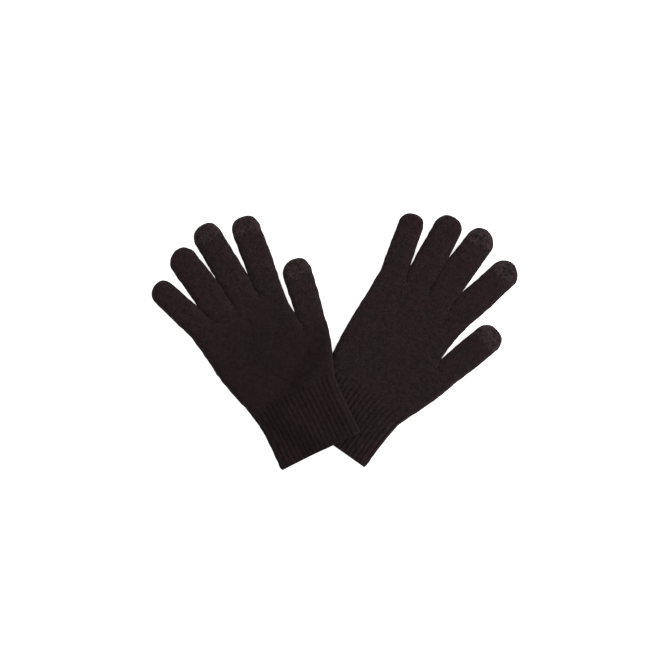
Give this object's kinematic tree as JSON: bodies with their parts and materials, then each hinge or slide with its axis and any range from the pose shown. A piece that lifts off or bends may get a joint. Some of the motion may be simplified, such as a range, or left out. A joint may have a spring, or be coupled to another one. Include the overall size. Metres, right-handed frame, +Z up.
{
  "type": "touchscreen gloves",
  "caption": "Pair of knitted winter gloves lying flat, with ribbed cuffs and conductive fingertips for touchscreens.",
  "frame": {"origin": "middle of the pair's footprint, on the surface it lies on", "axes": "+X to the right across the pair, +Y towards the fingertips, +Z up"},
  "size_m": [0.3294, 0.2288, 0.0167],
  "materials": {
    "knit_yarn": "matt plain knit, slightly fuzzy",
    "rib_yarn": "matt ribbed knit, slightly fuzzy",
    "conductive_yarn": "matt, fuzzier plain knit with conductive fibre",
    "elastic_thread": "covered elastic thread",
    "overlock_thread": "matt textured thread",
    "stitching_thread": "matt yarn"
  },
  "bodies": {
    "left_glove": {"left_hand": "knit_yarn", "left_cuff": "rib_yarn", "left_cuff_elastic": "elastic_thread", "left_cuff_overlock": "overlock_thread", "left_crotch_stitches": "stitching_thread"},
    "left_little": {"left_little_finger": "knit_yarn"},
    "left_ring": {"left_ring_finger": "knit_yarn"},
    "left_middle": {"left_middle_finger": "knit_yarn", "left_middle_touch_tip": "conductive_yarn"},
    "left_index": {"left_index_finger": "knit_yarn", "left_index_touch_tip": "conductive_yarn"},
    "left_thumb": {"left_thumb": "knit_yarn", "left_thumb_touch_tip": "conductive_yarn"},
    "right_glove": {"right_hand": "knit_yarn", "right_cuff": "rib_yarn", "right_cuff_elastic": "elastic_thread", "right_cuff_overlock": "overlock_thread", "right_crotch_stitches": "stitching_thread"},
    "right_little": {"right_little_finger": "knit_yarn"},
    "right_ring": {"right_ring_finger": "knit_yarn"},
    "right_middle": {"right_middle_finger": "knit_yarn", "right_middle_touch_tip": "conductive_yarn"},
    "right_index": {"right_index_finger": "knit_yarn", "right_index_touch_tip": "conductive_yarn"},
    "right_thumb": {"right_thumb": "knit_yarn", "right_thumb_touch_tip": "conductive_yarn"}
  },
  "joints": [
    {"name": "left_glove_lift", "type": "slide", "parent": "right_glove", "child": "left_glove", "axis": [0, 0, 1], "range_m": [0, 0.15]},
    {"name": "left_little_bend", "type": "hinge", "parent": "left_glove", "child": "left_little", "pos_m": [-0.12, 0.01087, 0.008], "axis": [0.7872, 0.6168, 0], "range_deg": [0, 90]},
    {"name": "left_ring_bend", "type": "hinge", "parent": "left_glove", "child": "left_ring", "pos_m": [-0.10082, 0.02438, 0.008], "axis": [0.8456, 0.5338, 0], "range_deg": [0, 90]},
    {"name": "left_middle_bend", "type": "hinge", "parent": "left_glove", "child": "left_middle", "pos_m": [-0.08057, 0.0363, 0.008], "axis": [0.877, 0.4805, 0], "range_deg": [0, 90]},
    {"name": "left_index_bend", "type": "hinge", "parent": "left_glove", "child": "left_index", "pos_m": [-0.05942, 0.04645, 0.008], "axis": [0.9236, 0.3833, 0], "range_deg": [0, 90]},
    {"name": "left_thumb_bend", "type": "hinge", "parent": "left_glove", "child": "left_thumb", "pos_m": [-0.0192, 0.01589, 0.00801], "axis": [0.972, 0.2351, 0], "range_deg": [0, 60]},
    {"name": "right_little_bend", "type": "hinge", "parent": "right_glove", "child": "right_little", "pos_m": [0.05192, 0.05967, 0.008], "axis": [0.9021, -0.4315, 0], "range_deg": [0, 90]},
    {"name": "right_ring_bend", "type": "hinge", "parent": "right_glove", "child": "right_ring", "pos_m": [0.07259, 0.04854, 0.008], "axis": [0.857, -0.5153, 0], "range_deg": [0, 90]},
    {"name": "right_middle_bend", "type": "hinge", "parent": "right_glove", "child": "right_middle", "pos_m": [0.09228, 0.03574, 0.008], "axis": [0.8188, -0.5742, 0], "range_deg": [0, 90]},
    {"name": "right_index_bend", "type": "hinge", "parent": "right_glove", "child": "right_index", "pos_m": [0.11064, 0.02114, 0.008], "axis": [0.7438, -0.6683, 0], "range_deg": [0, 90]},
    {"name": "right_thumb_bend", "type": "hinge", "parent": "right_glove", "child": "right_thumb", "pos_m": [0.09874, -0.0308, 0.008], "axis": [0.6884, -0.7254, 0], "range_deg": [0, 60]}
  ]
}
